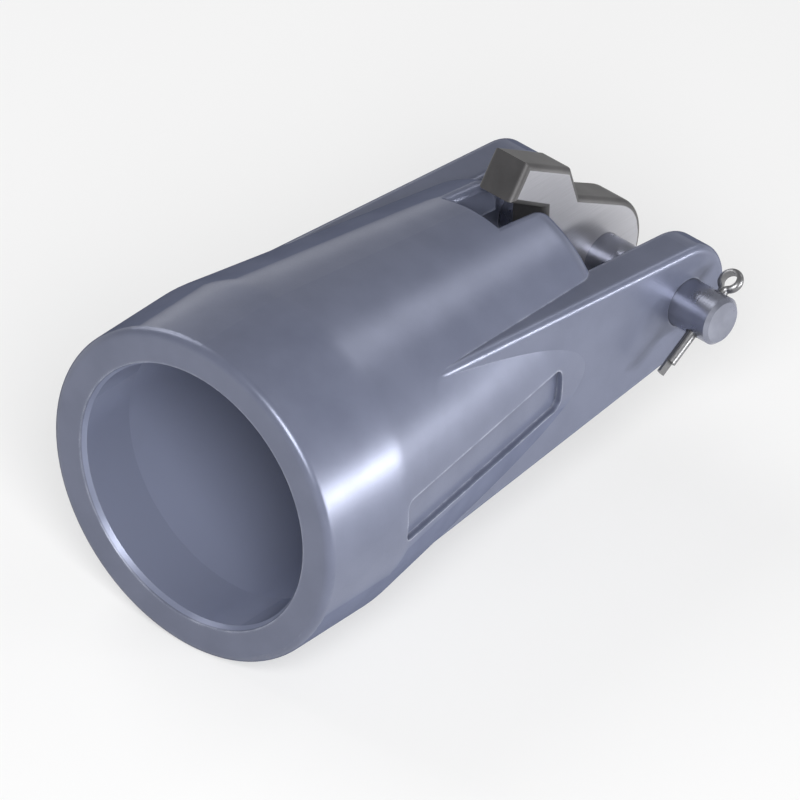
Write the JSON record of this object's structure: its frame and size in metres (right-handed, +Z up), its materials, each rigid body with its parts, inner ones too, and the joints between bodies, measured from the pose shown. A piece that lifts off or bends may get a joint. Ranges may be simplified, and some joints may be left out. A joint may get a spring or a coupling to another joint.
{
  "type": "spinnaker pole end fitting",
  "caption": "Conical socket end for a spinnaker pole, with a forked tail, a clevis pin with a split pin, and a sprung latch that swings inside the socket.",
  "frame": {"origin": "on the axis of the socket bore, where the bore's straight wall starts, 1.3 mm behind the front face", "axes": "+X along the socket's axis from its mouth to the ears, +Z up through the slot over the latch, +Y to the side the clevis pin's head is on"},
  "size_m": [0.1267, 0.0715, 0.0714],
  "materials": {
    "socket_body": "satin blue-grey anodised casting",
    "clevis_pin": "turned stainless steel",
    "latch": "cast stainless steel with ground flat sides",
    "spring": "bright spring wire",
    "split_pin": "stainless half-round wire"
  },
  "bodies": {
    "fitting": {"socket_body": "socket_body", "clevis_pin": "clevis_pin", "split_pin": "split_pin", "spring": "spring"},
    "latch": {"latch": "latch"}
  },
  "joints": [
    {"name": "latch_pivot", "type": "hinge", "parent": "fitting", "child": "latch", "pos_m": [0.1135, 0, 0], "axis": [0, -1, 0], "range_deg": [0, 15], "stiffness_Nm_per_rad": 4.5, "springref_deg": -6.3, "deforming": ["spring"]}
  ]
}
